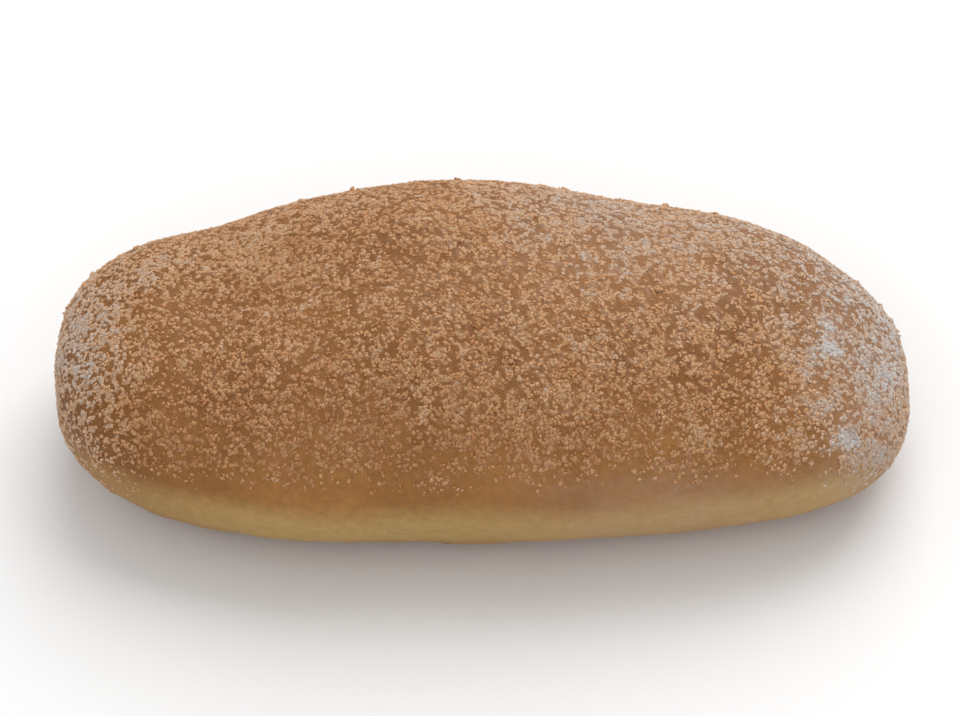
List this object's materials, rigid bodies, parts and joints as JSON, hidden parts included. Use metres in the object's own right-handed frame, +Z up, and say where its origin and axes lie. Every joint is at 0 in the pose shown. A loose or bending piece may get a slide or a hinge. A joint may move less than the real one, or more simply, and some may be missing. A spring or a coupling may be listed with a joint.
{
  "type": "fried bread roll",
  "caption": "Long fried bread roll with a domed brown crust, blunt rounded ends, a pale waist and a flat base, coated in sugar; a food piece to serve, hold or eat.",
  "frame": {"origin": "under the middle of the roll, on the surface it rests on", "axes": "+X along the roll from its left end to its right end, -Y to its front side, +Z up"},
  "size_m": [0.16, 0.0756, 0.0492],
  "materials": {
    "fried_crust": "fried brown crust under a coat of sugar grains"
  },
  "bodies": {
    "root": {"fried_bread": "fried_crust"}
  },
  "joints": []
}
